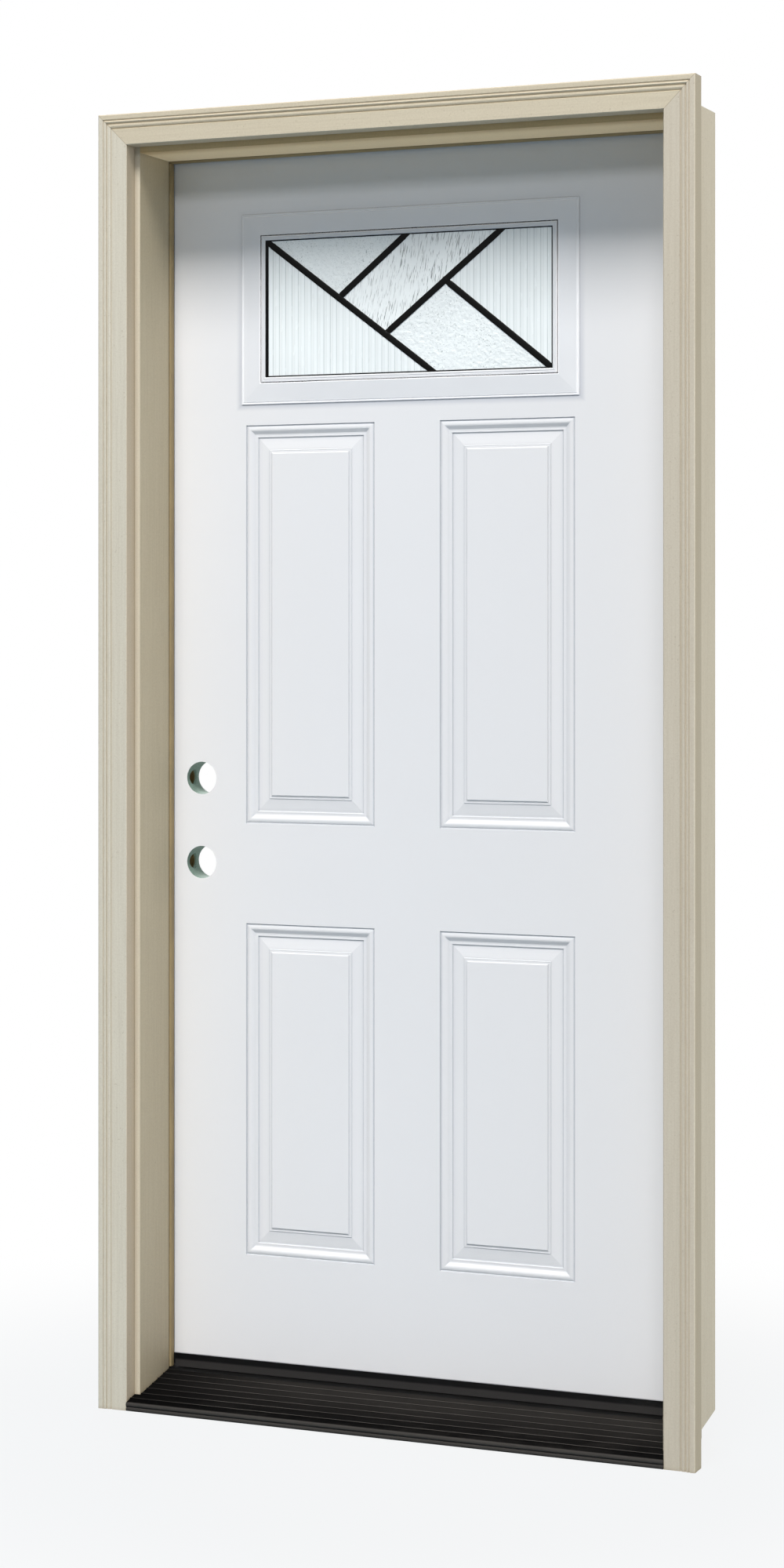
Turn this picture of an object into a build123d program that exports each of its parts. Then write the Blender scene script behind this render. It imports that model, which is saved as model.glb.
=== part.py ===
from build123d import *
from math import cos, radians, sin
import os

# In-swing steel entry door, prehung in its frame, seen from outside (-Y).
# Lengths are millimetres. X runs from the lock side to the hinge side, Y from outside
# to inside, Z up. Y is 0 at the back of the brick moulding and Z is 0 under the sill.

# Door slab
slab_width = 908.0
slab_height = 2007.0
slab_thickness = 44.45
skin_thickness = 1.0
stile_width = 30.0
rail_height = 30.0
slab_bottom = 46.0

# Frame
edge_gap = 5.0
jamb_depth = 166.7
jamb_thickness = 31.75
rabbet_step = 12.7
interior_reveal = 1.6
brickmould_width = 50.8
brickmould_thickness = 31.75
brickmould_reveal = 9.5

# Weatherstrip
strip_thickness = 16.0
strip_width = 16.0
strip_clearance = 0.4
strip_round = 5.0
strip_slot_width = 1.6
strip_slot_depth = 7.5

# Sill
sill_nose_height = 14.6
sill_slope = 0.193
deck_thickness = 2.4
rib_pitch = 20.0
rib_height = 1.2
rib_width = 3.0
first_rib = -16.0
nose_shell = 6.0
cap_start = 100.0
cap_thickness = 12.0
cap_front_slope = 4.0
cap_back_slope = 8.0
cap_back_drop = 3.0
strip_foot_gap = 3.0
sweep_clearance = 1.0
sweep_thickness = 4.0
sweep_lip_thickness = 2.0
sweep_lip_height = 18.0
leg_seat = 6.0
seal_end_gap = 1.5

# Glazed lite, hung from the top of the slab
layout_shift = -25.0
lite_width = 589.0
lite_height = 313.0
lite_drop = 101.5
lite_face_width = 44.0
lite_lap = 14.5
lite_proud = 4.4
lite_leg = 12.0
wrap_depth = 15.0
wrap_thickness = 8.0
seat_clearance = 0.2
glass_proud = 3.0
unit_thickness = 25.4
pane_thickness = 3.0
pane_margin = 14.0
spacer_width = 7.0
leaded_glass_thickness = 3.2
came_flange_width = 9.5
came_side_width = 5.5
came_edge_width = 1.8
came_flange_thickness = 0.9
came_heart_width = 1.6

# Embossed panels
panel_width = 230.0
panel_gap = 114.0
lite_to_panel = 34.0
upper_panel_base = 902.5
lower_panel_height = 546.0
lower_panel_base = 191.5
emboss_width = 47.5
emboss_depth = 4.5
field_depth = 0.5
pocket_clearance = 0.3
# Face of the stamped moulding: distance in from the panel's edge and depth below the skin
emboss_profile = [
    (0, 0), (0.9, 1.1), (1.8, 1.3), (3.0, 0.8), (5.0, 0.35), (7.5, 0.2), (9.5, 0.6), (12.5, 2.0),
    (15.0, 3.1), (17.0, 3.3), (19.5, 3.1), (20.3, 3.3), (21.3, 4.4), (22.8, emboss_depth),
    (41.0, 2.7), (41.9, 1.9), (43.0, 2.1), (45.6, 1.8), (46.5, 0.9), (emboss_width, field_depth),
]

# Lock preparation
backset = 60.3
cross_bore_radius = 27.0
deadbolt_height = 975.7
bore_spacing = 139.7
edge_bore_radius = 12.7
faceplate_width = 25.4
faceplate_height = 57.15
faceplate_depth = 2.5
lock_block_width = 111.5
lock_block_height = 330.0
strike_pocket_width = 22.0
strike_pocket_height = 28.0
strike_pocket_depth = 16.0
strike_plate_width = 28.0

# Hinges
hinge_height = 101.6
hinge_leaf_width = 35.0
hinge_leaf_thickness = 2.3
hinge_corner = 6.0
knuckle_radius = 6.2
knuckle_count = 5
knuckle_gap = 0.4
pin_radius = 3.0
pin_clearance = 0.05
pin_head_radius = 5.0
pin_head_height = 3.0
pin_setout = 8.5
top_hinge_drop = 178.0
bottom_hinge_rise = 279.0

# Places worked out from the sizes
half_slab = slab_width / 2
slab_front = jamb_depth - interior_reveal - slab_thickness
slab_back = slab_front + slab_thickness
slab_top = slab_bottom + slab_height
rabbet_face = half_slab + edge_gap
stop_face = rabbet_face - rabbet_step
jamb_outer = stop_face + jamb_thickness
rabbet_ceiling = slab_top + edge_gap
stop_ceiling = rabbet_ceiling - rabbet_step
frame_top = stop_ceiling + jamb_thickness
stop_back = slab_front - strip_clearance - strip_thickness
brick_inner = stop_face + brickmould_reveal
brick_outer = brick_inner + brickmould_width
brick_low = stop_ceiling + brickmould_reveal
brick_top = brick_low + brickmould_width
core_front = slab_front + skin_thickness
core_back = slab_back - skin_thickness
slab_middle = (slab_front + slab_back) / 2
lite_x = layout_shift
lite_z = slab_top - lite_drop - lite_height / 2
cutout_width = lite_width - 2 * lite_lap
cutout_height = lite_height - 2 * lite_lap
glass_width = lite_width - 2 * lite_face_width
glass_height = lite_height - 2 * lite_face_width
pane_width = glass_width + 2 * pane_margin
pane_height = glass_height + 2 * pane_margin
leaded_front = slab_front - glass_proud
leaded_middle = leaded_front + came_flange_thickness + leaded_glass_thickness / 2
pane_front = leaded_middle + leaded_glass_thickness / 2 + came_flange_thickness
pane_back = pane_front + unit_thickness
panel_half_pitch = (panel_gap + panel_width) / 2
upper_panel_low = slab_bottom + upper_panel_base
upper_panel_top = lite_z - lite_height / 2 - lite_to_panel
lower_panel_low = slab_bottom + lower_panel_base
lower_panel_top = lower_panel_low + lower_panel_height
cap_top = slab_bottom - sweep_thickness - sweep_clearance
cap_base = cap_top - cap_thickness
bore_x = -half_slab + backset
bore_heights = [slab_bottom + deadbolt_height, slab_bottom + deadbolt_height - bore_spacing]
pin_x = half_slab + edge_gap / 2
pin_y = slab_back + pin_setout
hinge_centres = {
    "bottom": slab_bottom + bottom_hinge_rise + hinge_height / 2,
    "middle": slab_bottom + (bottom_hinge_rise + slab_height - top_hinge_drop) / 2,
    "top": slab_top - top_hinge_drop - hinge_height / 2,
}
cut = 200.0


def block(x0, x1, y0, y1, z0, z1):
    """A box between two corners."""
    size = (x1 - x0, y1 - y0, z1 - z0)
    centre = ((x0 + x1) / 2, (y0 + y1) / 2, (z0 + z1) / 2)
    return Pos(*centre) * Box(*size)


def plate(width, height, y0, y1, x=0.0, z=0.0):
    """An upright plate between two depths, centred on x and z."""
    return block(x - width / 2, x + width / 2, y0, y1, z - height / 2, z + height / 2)


def bar_along_x(points, x0, x1):
    """A bar whose section is a list of (y, z) points."""
    wire = Polyline([(x0, y, z) for y, z in points], close=True)
    return extrude(make_face(wire), amount=x1 - x0, dir=(1, 0, 0))


def bar_along_z(points, z0, z1):
    """A bar whose section is a list of (x, y) points."""
    wire = Polyline([(x, y, z0) for x, y in points], close=True)
    return extrude(make_face(wire), amount=z1 - z0, dir=(0, 0, 1))


def mitred_ring(section, width, height, y, x=0.0, z=0.0, facing=-1):
    """A section of (inward, outward) points carried round a rectangle with mitred corners."""
    left, right = x - width / 2, x + width / 2
    low, high = z - height / 2, z + height / 2
    stops = [(x, y, low), (right, y, low), (right, y, high), (left, y, high), (left, y, low), (x, y, low)]
    path = Wire([Line(a, b) for a, b in zip(stops, stops[1:])])
    points = [(x, y + facing * out, low + inward) for inward, out in section]
    face = make_face(Polyline(points, close=True))
    return sweep(face, path=path, transition=Transition.RIGHT)


def deck_height(y):
    """Height of the sloping sill deck at a depth."""
    return sill_nose_height + sill_slope * (y + brickmould_thickness)


def cylinder_y(x, z, radius, y0, y1):
    return Pos(x, (y0 + y1) / 2, z) * Rot(90, 0, 0) * Cylinder(radius, y1 - y0)


def cylinder_x(y, z, radius, x0, x1):
    return Pos((x0 + x1) / 2, y, z) * Rot(0, 90, 0) * Cylinder(radius, x1 - x0)


def cylinder_z(x, y, radius, z0, z1):
    return Pos(x, y, (z0 + z1) / 2) * Cylinder(radius, z1 - z0)


def brickmould_section():
    """Points (across from the opening, out from the wall) of the brick moulding."""
    w = brickmould_width
    t = brickmould_thickness
    flat = t - 2.4
    return [
        (0, 0), (0, flat - 1.2), (1.2, flat),
        (w - 24.5, flat), (w - 23.7, flat - 1.2), (w - 22.6, flat - 1.2),
        (w - 21.6, flat + 0.3), (w - 19.5, flat + 1.0), (w - 16.8, flat + 0.8),
        (w - 15.6, flat - 0.4), (w - 14.6, flat - 0.4),
        (w - 14.0, t - 0.9), (w - 12.6, t - 0.1), (w - 10.6, t - 0.6),
        (w - 9.8, t - 1.5), (w - 9.0, t - 1.5), (w - 8.4, t - 0.2),
        (w - 7.4, t), (w - 1.5, t), (w, t - 1.5), (w, 0),
    ]


def brickmould_leg(side):
    points = [(side * (brick_inner + u), -v) for u, v in brickmould_section()]
    leg = bar_along_z(points, 0, brick_top)
    wedge = Polyline(
        [(side * brick_inner, 0, brick_low), (side * (brick_outer + cut), 0, brick_top + cut),
         (side * brick_inner, 0, brick_top + cut)], close=True)
    mitre = extrude(make_face(wedge), amount=cut, dir=(0, 1, 0), both=True)
    return leg - mitre


def brickmould_head():
    points = [(-v, brick_low + u) for u, v in brickmould_section()]
    head = bar_along_x(points, -brick_outer, brick_outer)
    for side in (-1, 1):
        wedge = Polyline(
            [(side * brick_inner, 0, brick_low), (side * (brick_outer + cut), 0, brick_top + cut),
             (side * (brick_outer + cut), 0, brick_low)], close=True)
        head -= extrude(make_face(wedge), amount=cut, dir=(0, 1, 0), both=True)
    return head


def jamb_leg(side):
    """A rabbeted jamb leg whose foot is cut to the slope of the sill."""
    points = [(stop_face, 0), (stop_face, stop_back), (rabbet_face, stop_back),
              (rabbet_face, jamb_depth), (jamb_outer, jamb_depth), (jamb_outer, 0)]
    leg = bar_along_z([(side * x, y) for x, y in points], 0, frame_top)
    foot = [(-1, -1), (jamb_depth + 1, -1), (jamb_depth + 1, deck_height(jamb_depth + 1) - leg_seat),
            (-1, deck_height(-1) - leg_seat)]
    leg -= bar_along_x(foot, -jamb_outer - 1, jamb_outer + 1)
    if side < 0:
        for z in bore_heights:
            leg -= block(-rabbet_face - faceplate_depth, -rabbet_face + 1,
                         slab_middle - strike_plate_width / 2, slab_middle + strike_plate_width / 2,
                         z - faceplate_height / 2, z + faceplate_height / 2)
            leg -= block(-rabbet_face - strike_pocket_depth, -rabbet_face,
                         slab_middle - strike_pocket_width / 2, slab_middle + strike_pocket_width / 2,
                         z - strike_pocket_height / 2, z + strike_pocket_height / 2)
    else:
        for z in hinge_centres.values():
            leg -= block(rabbet_face - 1, rabbet_face + hinge_leaf_thickness,
                         slab_back - hinge_leaf_width, jamb_depth + 1,
                         z - hinge_height / 2, z + hinge_height / 2)
    return leg


def jamb_head():
    points = [(0, stop_ceiling), (stop_back, stop_ceiling), (stop_back, rabbet_ceiling),
              (jamb_depth, rabbet_ceiling), (jamb_depth, frame_top), (0, frame_top)]
    head = bar_along_x(points, -rabbet_face, rabbet_face)
    for side in (-1, 1):
        x0, x1 = sorted((side * stop_face, side * (rabbet_face + 1)))
        head -= block(x0, x1, -1, stop_back, stop_ceiling - 1, frame_top + 1)
    return head


def strip_section():
    """Points (into the opening, back from the stop) of the foam seal, slotted beside the stop."""
    r = strip_round
    w = strip_width
    t = strip_thickness
    s = strip_slot_width
    root = w - strip_slot_depth
    arc = [(w - r + r * cos(radians(a)), t - r + r * sin(radians(a))) for a in (0, 30, 60, 90)]
    return [(0, 0), (root, 0), (root, s), (w - 3.0, s), (w - 0.9, s + 0.9), (w, s + 3.0)] + arc + [(0, t)]


def weatherstrip_leg(side):
    points = [(side * (rabbet_face - u), stop_back + v) for u, v in strip_section()]
    return bar_along_z(points, deck_height(stop_back) + strip_foot_gap, rabbet_ceiling - strip_width)


def weatherstrip_head():
    points = [(stop_back + v, rabbet_ceiling - u) for u, v in strip_section()]
    return bar_along_x(points, -rabbet_face, rabbet_face)


def sill_deck():
    """The ribbed metal deck with its two-bead nose."""
    nose = -brickmould_thickness
    h = sill_nose_height
    outline = [(nose + 2.6, 0), (nose + 0.9, 0.7), (nose, 2.4), (nose, 4.4), (nose + 0.8, 6.0),
               (nose + 2.4, 6.9), (nose + 0.8, 7.8), (nose, 9.4), (nose, h - 3.6), (nose + 0.8, h - 1.6),
               (nose + 2.4, h - 0.4)]
    y = first_rib
    while y + rib_width < cap_start - rib_width:
        outline += [(y - rib_width / 2, deck_height(y - rib_width / 2)),
                    (y - rib_width / 4, deck_height(y) + rib_height),
                    (y + rib_width / 4, deck_height(y) + rib_height),
                    (y + rib_width / 2, deck_height(y + rib_width / 2))]
        y += rib_pitch
    outline += [(cap_start, deck_height(cap_start)), (cap_start, deck_height(cap_start) - deck_thickness),
                (nose + nose_shell, deck_height(nose + nose_shell) - deck_thickness), (nose + nose_shell, 0)]
    deck = bar_along_x(outline, -brick_inner, brick_inner)
    return trim_sill(deck)


def trim_sill(piece):
    """Cuts the sill's ends to the jamb legs."""
    for side in (-1, 1):
        x0, x1 = sorted((side * stop_face, side * (brick_inner + cut)))
        piece -= block(x0, x1, 0, stop_back, -1, cut)
    return piece


def sill_core():
    """The solid substrate under the deck."""
    front = nose_shell - brickmould_thickness
    outline = [(front, 0), (front, deck_height(front) - deck_thickness),
               (cap_start, deck_height(cap_start) - deck_thickness),
               (cap_start, cap_base), (jamb_depth, cap_base), (jamb_depth, 0)]
    core = bar_along_x(outline, -brick_inner, brick_inner)
    return trim_sill(core)


def threshold_cap():
    outline = [(cap_start, cap_base), (cap_start, deck_height(cap_start)),
               (cap_start + cap_front_slope, cap_top), (jamb_depth - cap_back_slope, cap_top),
               (jamb_depth, cap_top - cap_back_drop), (jamb_depth, cap_base)]
    cap = bar_along_x(outline, -brick_inner, brick_inner)
    return trim_sill(cap)


def emboss_section():
    """Sheet section (inward, outward) of a panel's stamped moulding."""
    face = [(u, -depth) for u, depth in emboss_profile]
    back = [(u, v - skin_thickness) for u, v in reversed(face)]
    return face + back


def panel_places():
    """Middle x, middle z and height of the four panels."""
    for side in (-1, 1):
        x = layout_shift + side * panel_half_pitch
        for low, high in ((upper_panel_low, upper_panel_top), (lower_panel_low, lower_panel_top)):
            yield x, (low + high) / 2, high - low


def door_skin(facing):
    """A stamped steel sheet with four panels, the lite cut-out and the bores."""
    face_y = slab_front if facing < 0 else slab_back
    inner_y = face_y - facing * skin_thickness
    y0, y1 = sorted((face_y, inner_y))
    z = (slab_bottom + slab_top) / 2
    skin = plate(slab_width, slab_height, y0, y1, 0, z)
    skin -= plate(cutout_width, cutout_height, y0 - 1, y1 + 1, lite_x, lite_z)
    for x, z, height in panel_places():
        skin -= plate(panel_width, height, y0 - 1, y1 + 1, x, z)
    for z in bore_heights:
        skin -= cylinder_y(bore_x, z, cross_bore_radius, y0 - 1, y1 + 1)
    pieces = []
    for x, z, height in panel_places():
        pieces.append(mitred_ring(emboss_section(), panel_width, height, face_y, x, z, facing))
        inset = 2 * emboss_width
        f0, f1 = sorted((face_y - facing * field_depth, inner_y - facing * field_depth))
        pieces.append(plate(panel_width - inset, height - inset, f0, f1, x, z))
    for piece in pieces:
        skin += piece
    if facing > 0:
        for z in hinge_centres.values():
            skin -= leaf_mortise(z)
    return skin


def leaf_mortise(z):
    return block(half_slab - hinge_leaf_thickness, half_slab + 1, slab_back - hinge_leaf_width,
                 slab_back + 1, z - hinge_height / 2, z + hinge_height / 2)


def stile(side):
    x0, x1 = sorted((side * half_slab, side * (half_slab - stile_width)))
    piece = block(x0, x1, core_front, core_back, slab_bottom, slab_top)
    if side < 0:
        for z in bore_heights:
            piece -= block(-half_slab - 1, -half_slab + faceplate_depth,
                           slab_middle - faceplate_width / 2, slab_middle + faceplate_width / 2,
                           z - faceplate_height / 2, z + faceplate_height / 2)
            piece -= cylinder_x(slab_middle, z, edge_bore_radius, x0 - 1, x1 + 1)
    else:
        for z in hinge_centres.values():
            piece -= leaf_mortise(z)
    return piece


def rail(z0):
    inner = half_slab - stile_width
    return block(-inner, inner, core_front, core_back, z0, z0 + rail_height)


def lock_block_box():
    z = sum(bore_heights) / 2
    x0 = -half_slab + stile_width
    return block(x0, x0 + lock_block_width, core_front, core_back,
                 z - lock_block_height / 2, z + lock_block_height / 2)


def lock_block():
    piece = lock_block_box()
    for z in bore_heights:
        piece -= cylinder_y(bore_x, z, cross_bore_radius, core_front - 1, core_back + 1)
        piece -= cylinder_x(slab_middle, z, edge_bore_radius, -half_slab, bore_x)
    for facing in (-1, 1):
        piece -= panel_pocket(facing)
    return piece


def panel_pocket(facing):
    """The room behind the stamped panels of one skin."""
    face_y = slab_front if facing < 0 else slab_back
    shell = skin_thickness + pocket_clearance
    pocket = None
    for x, z, height in panel_places():
        y0, y1 = sorted((face_y, face_y - facing * (emboss_depth + shell)))
        room = plate(panel_width, height, y0, y1, x, z)
        y0, y1 = sorted((face_y - facing * (field_depth + skin_thickness),
                         face_y - facing * (emboss_depth + 2 * shell)))
        inset = 2 * emboss_width
        room -= plate(panel_width - inset, height - inset, y0, y1, x, z)
        pocket = room if pocket is None else pocket + room
    return pocket


def door_core():
    """The foam between the skins, stiles and rails."""
    inner = half_slab - stile_width
    core = block(-inner, inner, core_front, core_back, slab_bottom + rail_height, slab_top - rail_height)
    core -= plate(cutout_width, cutout_height, core_front - 1, core_back + 1, lite_x, lite_z)
    core -= lock_block_box()
    for facing in (-1, 1):
        core -= panel_pocket(facing)
    return core


def lite_face():
    """Points (inward, outward) of the lite frame's moulded face, from its outer edge to the glass."""
    w = lite_face_width
    p = lite_proud
    return [(0, 0), (0, p - 3.4), (0.7, p - 2.8), (2.2, p - 2.8), (2.7, p - 3.4), (3.3, p - 3.4),
            (4.0, p - 2.6), (5.0, p - 2.4), (w - 9.5, p - 1.0), (w - 8.8, p - 1.6), (w - 7.6, p - 1.6),
            (w - 6.9, p - 0.3), (w - 5.2, p), (w - 4.6, p - 0.6), (w - 3.6, p - 0.6), (w - 3.0, p - 0.1),
            (w - 1.0, p - 0.3), (w - 0.3, p - 0.8)]


def lite_frame_exterior():
    """The outer frame bears on the leaded glass and wraps the edge of the sealed unit."""
    w = lite_face_width
    seat = w - pane_margin - seat_clearance
    section = lite_face() + [(w, glass_proud), (seat, glass_proud), (seat, -wrap_depth),
                             (seat - wrap_thickness, -wrap_depth), (seat - wrap_thickness, 0)]
    return mitred_ring(section, lite_width, lite_height, slab_front, lite_x, lite_z, -1)


def lite_frame_interior():
    """The inner frame holds the sealed unit with a leg round its face."""
    w = lite_face_width
    rebate = slab_back - pane_back
    section = lite_face() + [(w, -rebate), (w - lite_leg, -rebate), (w - lite_leg, 0)]
    return mitred_ring(section, lite_width, lite_height, slab_back, lite_x, lite_z, 1)


def glass_pane(facing):
    y0 = pane_front if facing < 0 else pane_back - pane_thickness
    return plate(pane_width, pane_height, y0, y0 + pane_thickness, lite_x, lite_z)


def came_lines():
    """Centre lines of the leading, from the middle of the glass; the free ends run past its edge."""
    left = -glass_width / 2
    right = glass_width / 2
    top = glass_height / 2
    corner = (left, top)
    long_end = (left + 0.594 * glass_width, -top)
    first_joint = along(corner, long_end, 0.442)
    second_joint = along(corner, long_end, 0.717)
    first_end = (left + 0.502 * glass_width, top)
    second_end = (left + 0.830 * glass_width, top)
    third_joint = along(second_joint, second_end, 0.517)
    return [(beyond(long_end, corner), beyond(corner, long_end)),
            (first_joint, beyond(first_joint, first_end)),
            (second_joint, beyond(second_joint, second_end)),
            (third_joint, beyond(third_joint, (right, -top)))]


def along(a, b, t):
    return (a[0] + (b[0] - a[0]) * t, a[1] + (b[1] - a[1]) * t)


def beyond(a, b):
    """The point past b on the line from a that clears the edge of the sealed unit."""
    length = ((b[0] - a[0]) ** 2 + (b[1] - a[1]) ** 2) ** 0.5
    return along(a, b, 1 + 2 * pane_margin / length)


def came_bar(a, b, width, y0, y1):
    """A straight strip of lead between two points of the glass."""
    start = Vector(a[0] + lite_x, 0, a[1] + lite_z)
    end = Vector(b[0] + lite_x, 0, b[1] + lite_z)
    step = (end - start).normalized()
    side = Vector(-step.Z, 0, step.X) * (width / 2)
    corners = [start + side, end + side, end - side, start - side]
    face = make_face(Polyline([(c.X, y0, c.Z) for c in corners], close=True))
    return extrude(face, amount=y1 - y0, dir=(0, 1, 0))


def came_web(y0, y1):
    """The strips of one face of the leading, trimmed to the sealed unit."""
    sheet = plate(pane_width, pane_height, y0, y1, lite_x, lite_z)
    web = sheet - plate(glass_width - 2 * came_edge_width, glass_height - 2 * came_edge_width,
                        y0 - 1, y1 + 1, lite_x, lite_z)
    for a, b in came_lines():
        web += came_bar(a, b, came_flange_width, y0, y1)
    left = lite_x - glass_width / 2
    web += block(left - pane_margin, left + came_side_width, y0, y1,
                 lite_z - pane_height / 2, lite_z + pane_height / 2)
    return web & sheet


def leaded_sheet():
    half = leaded_glass_thickness / 2
    return plate(pane_width, pane_height, leaded_middle - half, leaded_middle + half, lite_x, lite_z)


def came_heart():
    """The core of the leading, in the thickness of the glass."""
    y0 = leaded_middle - leaded_glass_thickness / 2
    y1 = leaded_middle + leaded_glass_thickness / 2
    heart = leaded_sheet() - plate(pane_width - 2 * came_heart_width, pane_height - 2 * came_heart_width,
                                   y0 - 1, y1 + 1, lite_x, lite_z)
    for a, b in came_lines():
        heart += came_bar(a, b, came_heart_width, y0, y1)
    return heart & leaded_sheet()


def came_lattice():
    half = leaded_glass_thickness / 2
    flange = came_flange_thickness
    lattice = came_heart()
    lattice += came_web(leaded_middle - half - flange, leaded_middle - half)
    lattice += came_web(leaded_middle + half, leaded_middle + half + flange)
    return lattice


def leaded_glass():
    """The five pieces of textured glass, from the lock side."""
    names = ["glass_reeded_lock_side", "glass_granite_upper", "glass_rain_middle",
             "glass_granite_lower", "glass_reeded_hinge_side"]
    pieces = sorted((leaded_sheet() - came_heart()).solids(), key=lambda s: s.center().X)
    return dict(zip(names, pieces))


def glass_spacer():
    y0 = pane_front + pane_thickness
    y1 = pane_back - pane_thickness
    ring = plate(pane_width, pane_height, y0, y1, lite_x, lite_z)
    return ring - plate(pane_width - 2 * spacer_width, pane_height - 2 * spacer_width,
                        y0 - 1, y1 + 1, lite_x, lite_z)


def door_sweep():
    """The black door bottom with its lip up the outside face."""
    end = rabbet_face - strip_width - seal_end_gap
    foot = [(slab_front - sweep_lip_thickness, slab_bottom - sweep_thickness),
            (slab_back, slab_bottom - sweep_thickness), (slab_back, slab_bottom),
            (slab_front, slab_bottom), (slab_front, slab_bottom + sweep_lip_height),
            (slab_front - sweep_lip_thickness, slab_bottom + sweep_lip_height)]
    return bar_along_x(foot, -end, end)


def knuckle_spans(centre, of_jamb):
    """Heights of every other knuckle, the jamb leaf's being the outer ones."""
    pitch = hinge_height / knuckle_count
    base = centre - hinge_height / 2
    first = 0 if of_jamb else 1
    for k in range(first, knuckle_count, 2):
        yield base + k * pitch + knuckle_gap / 2, base + (k + 1) * pitch - knuckle_gap / 2


def hinge_leaf(centre, of_jamb):
    side = 1 if of_jamb else -1
    near = pin_x + side * edge_gap / 2
    far = near + side * hinge_leaf_thickness
    x0, x1 = sorted((near, far))
    z0 = centre - hinge_height / 2
    leaf = block(x0, x1, slab_back - hinge_leaf_width, slab_back + knuckle_gap, z0, z0 + hinge_height)
    leaf = fillet(leaf.edges().filter_by(Axis.X).group_by(Axis.Y)[0], hinge_corner)
    for low, high in knuckle_spans(centre, of_jamb):
        leaf += block(x0, x1, slab_back, pin_y, low, high)
        leaf += cylinder_z(pin_x, pin_y, knuckle_radius, low, high)
    for low, high in knuckle_spans(centre, of_jamb):
        leaf -= cylinder_z(pin_x, pin_y, pin_radius + pin_clearance, low - 1, high + 1)
    return leaf


def hinge_pin(centre):
    z0 = centre - hinge_height / 2
    pin = cylinder_z(pin_x, pin_y, pin_radius, z0, z0 + hinge_height + 1)
    head = z0 + hinge_height
    return pin + cylinder_z(pin_x, pin_y, pin_head_radius, head, head + pin_head_height)


def build():
    nodes = {
        "brickmould_lock_side": brickmould_leg(-1),
        "brickmould_hinge_side": brickmould_leg(1),
        "brickmould_head": brickmould_head(),
        "jamb_lock_side": jamb_leg(-1),
        "jamb_hinge_side": jamb_leg(1),
        "jamb_head": jamb_head(),
        "weatherstrip_lock_side": weatherstrip_leg(-1),
        "weatherstrip_hinge_side": weatherstrip_leg(1),
        "weatherstrip_head": weatherstrip_head(),
        "sill_deck": sill_deck(),
        "sill_core": sill_core(),
        "threshold_cap": threshold_cap(),
        "door_skin_exterior": door_skin(-1),
        "door_skin_interior": door_skin(1),
        "door_core": door_core(),
        "lock_stile": stile(-1),
        "hinge_stile": stile(1),
        "top_rail": rail(slab_top - rail_height),
        "bottom_rail": rail(slab_bottom),
        "lock_block": lock_block(),
        "lite_frame_exterior": lite_frame_exterior(),
        "lite_frame_interior": lite_frame_interior(),
        "glass_pane_exterior": glass_pane(-1),
        "glass_pane_interior": glass_pane(1),
        "glass_spacer": glass_spacer(),
        "came_lattice": came_lattice(),
        "door_sweep": door_sweep(),
    }
    nodes.update(leaded_glass())
    for name, centre in hinge_centres.items():
        nodes["hinge_jamb_leaf_" + name] = hinge_leaf(centre, True)
        nodes["hinge_door_leaf_" + name] = hinge_leaf(centre, False)
        nodes["hinge_pin_" + name] = hinge_pin(centre)
    return nodes


os.makedirs("parts", exist_ok=True)
for name, shape in build().items():
    export_step(shape, "parts/" + name + ".step")
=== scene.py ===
"""Steel entry door in its frame: paints, glass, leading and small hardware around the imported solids.

Lengths are metres in the part's own frame: X from the lock side to the hinge side, Y from outside
to inside, Z up.
"""

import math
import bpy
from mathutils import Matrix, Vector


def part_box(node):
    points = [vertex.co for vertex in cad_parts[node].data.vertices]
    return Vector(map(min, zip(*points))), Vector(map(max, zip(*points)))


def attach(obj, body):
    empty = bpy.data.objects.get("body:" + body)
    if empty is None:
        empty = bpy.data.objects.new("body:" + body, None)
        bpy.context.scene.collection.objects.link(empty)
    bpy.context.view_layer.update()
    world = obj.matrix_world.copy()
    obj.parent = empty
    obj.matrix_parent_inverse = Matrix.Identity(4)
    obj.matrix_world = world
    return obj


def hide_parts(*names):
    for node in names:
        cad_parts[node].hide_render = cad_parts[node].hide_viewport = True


bl_info = {
    "name": "Steel Entry Door",
    "version": (1, 0, 0),
    "blender": (4, 5, 0),
    "location": "View3D > Sidebar > Entry Door",
    "description": "Finishes a prehung steel entry door with a leaded glass lite",
    "category": "Object",
}

import bmesh
import bpy
import numpy as np
from mathutils import Vector

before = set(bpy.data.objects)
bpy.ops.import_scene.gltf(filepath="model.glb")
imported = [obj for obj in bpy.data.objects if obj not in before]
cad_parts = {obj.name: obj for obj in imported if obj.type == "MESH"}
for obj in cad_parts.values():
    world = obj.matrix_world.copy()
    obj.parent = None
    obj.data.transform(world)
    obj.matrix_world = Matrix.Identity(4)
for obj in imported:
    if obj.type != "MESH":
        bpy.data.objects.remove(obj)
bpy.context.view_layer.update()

LITE_LOW, LITE_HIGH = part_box("lite_frame_exterior")
SKIN_LOW, SKIN_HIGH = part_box("door_skin_exterior")
BACK_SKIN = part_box("door_skin_interior")
GLASS = {name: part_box(name) for name in (
    "glass_reeded_lock_side", "glass_granite_upper", "glass_rain_middle",
    "glass_granite_lower", "glass_reeded_hinge_side")}
GLASS_FRONT = min(low.y for low, high in GLASS.values())
GLASS_BACK = max(high.y for low, high in GLASS.values())
CAME_LOW, CAME_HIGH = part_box("came_lattice")

RIB_PITCH, RIB_START = 0.020, -0.026    # ribs of the sill, across it
RABBET = 0.0127                         # step from the jamb's stop to the leaf's face
HALF_HEART = 0.0009                     # lead between two panes, from the middle of the lead
PANE_EDGE = 0.0018                      # from the lead's outer edge to the edge of the glass
CAP_FACE = 0.0027                       # inner lite frame's face, out from the skin
SCREWS = ((0.010, 0.040), (0.021, 0.015), (0.021, -0.015), (0.010, -0.040))  # in a leaf: y, z from middle


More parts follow.
